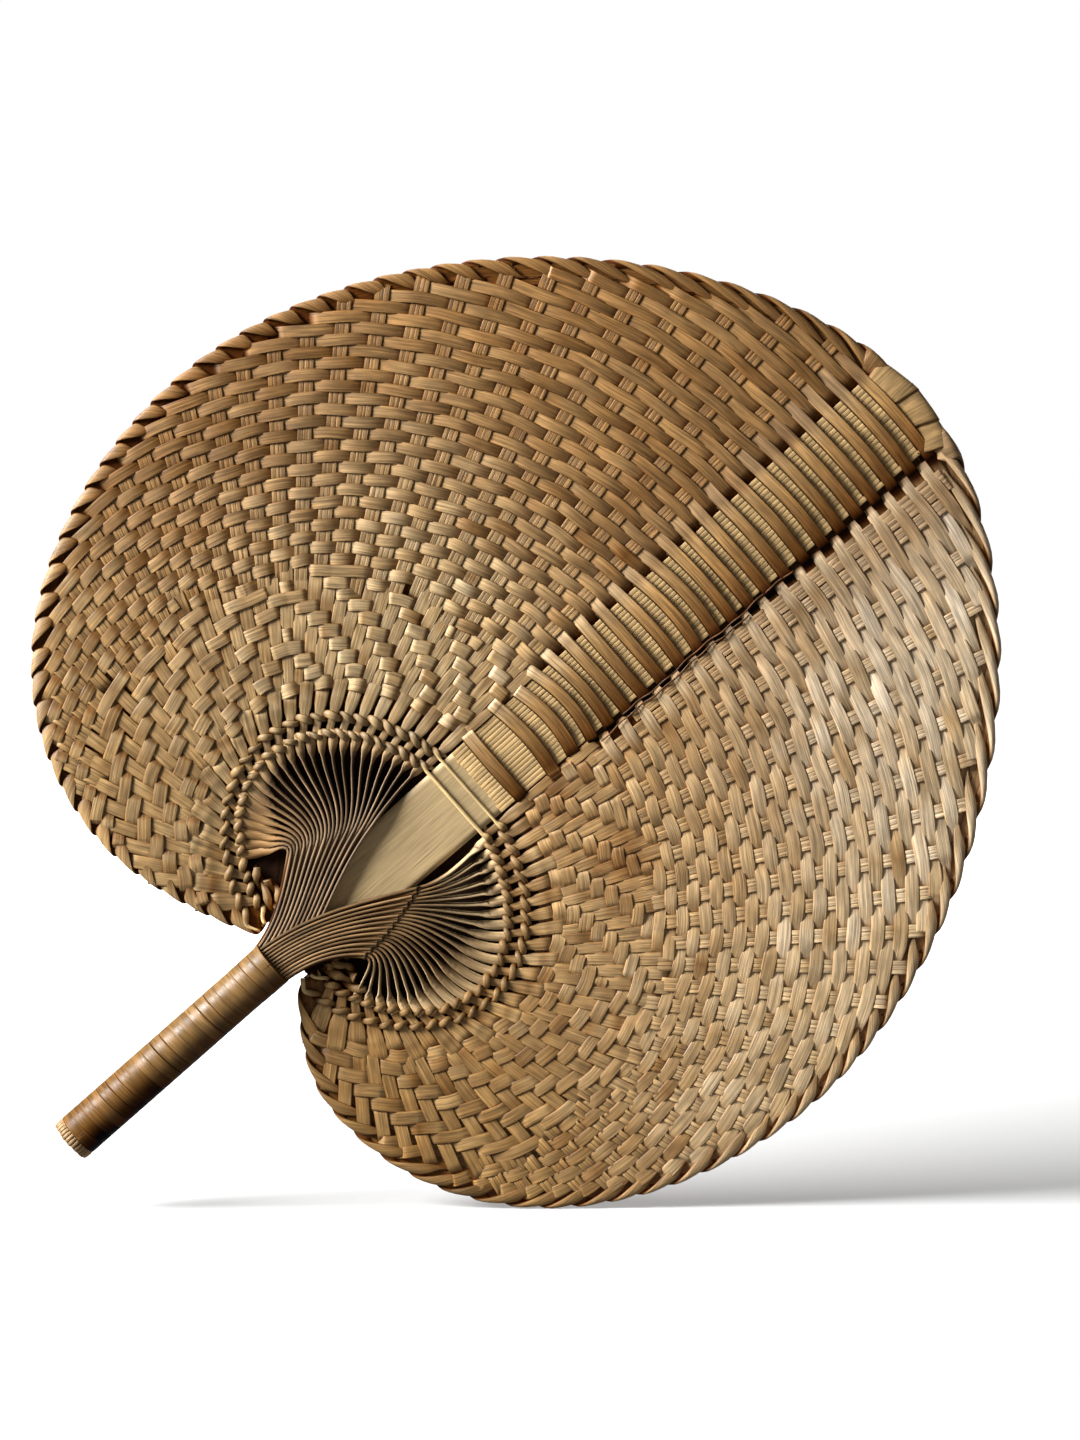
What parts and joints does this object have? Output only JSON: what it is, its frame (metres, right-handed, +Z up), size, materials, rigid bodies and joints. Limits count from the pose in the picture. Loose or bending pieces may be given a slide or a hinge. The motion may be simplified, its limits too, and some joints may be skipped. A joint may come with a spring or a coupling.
{
  "type": "woven palm leaf hand fan",
  "caption": "Heart-shaped hand fan woven from flat splints, with a slat up the middle, an oval opening above the handle and a grip wound with flat strip.",
  "frame": {"origin": "middle of the grip, on the axis of the wound handle", "axes": "+Z up as the fan is held in the picture, with its centre line in the XZ plane 41.45 degrees above +X; the front face looks along -Y"},
  "size_m": [0.3376, 0.0162, 0.3334],
  "materials": {
    "slat": "smooth split cane, satin",
    "splint": "dried leaf splint, satin",
    "weft": "dried leaf splint, satin",
    "edge": "dried leaf splint, satin",
    "twine": "thin twisted leaf strand",
    "wrap": "wound leaf strip, polished by use"
  },
  "bodies": {
    "root": {"centre_slat": "slat", "handle_wrap": "wrap", "edge_strip": "edge", "rim_twine_1_a": "twine", "rim_twine_1_b": "twine", "rim_twine_2_a": "twine", "rim_twine_2_b": "twine", "weft_01": "weft", "weft_02": "weft", "weft_03": "weft", "weft_04": "weft", "weft_05": "weft", "weft_06": "weft", "weft_07": "weft", "weft_08": "weft", "weft_09": "weft", "weft_10": "weft", "weft_11": "weft", "weft_12": "weft", "weft_13": "weft", "weft_14": "weft", "weft_15": "weft", "weft_16": "weft", "weft_17": "weft", "weft_18": "weft", "weft_19": "weft", "weft_20": "weft", "left_splint_01": "splint", "left_splint_02": "splint", "left_splint_03": "splint", "left_splint_04": "splint", "left_splint_05": "splint", "left_splint_06": "splint", "left_splint_07": "splint", "left_splint_08": "splint", "left_splint_09": "splint", "left_splint_10": "splint", "left_splint_11": "splint", "left_splint_12": "splint", "left_splint_13": "splint", "left_splint_14": "splint", "right_splint_01": "splint", "right_splint_02": "splint", "right_splint_03": "splint", "right_splint_04": "splint", "right_splint_05": "splint", "right_splint_06": "splint", "right_splint_07": "splint", "right_splint_08": "splint", "right_splint_09": "splint", "right_splint_10": "splint", "right_splint_11": "splint", "right_splint_12": "splint", "right_splint_13": "splint", "right_splint_14": "splint"}
  },
  "joints": []
}
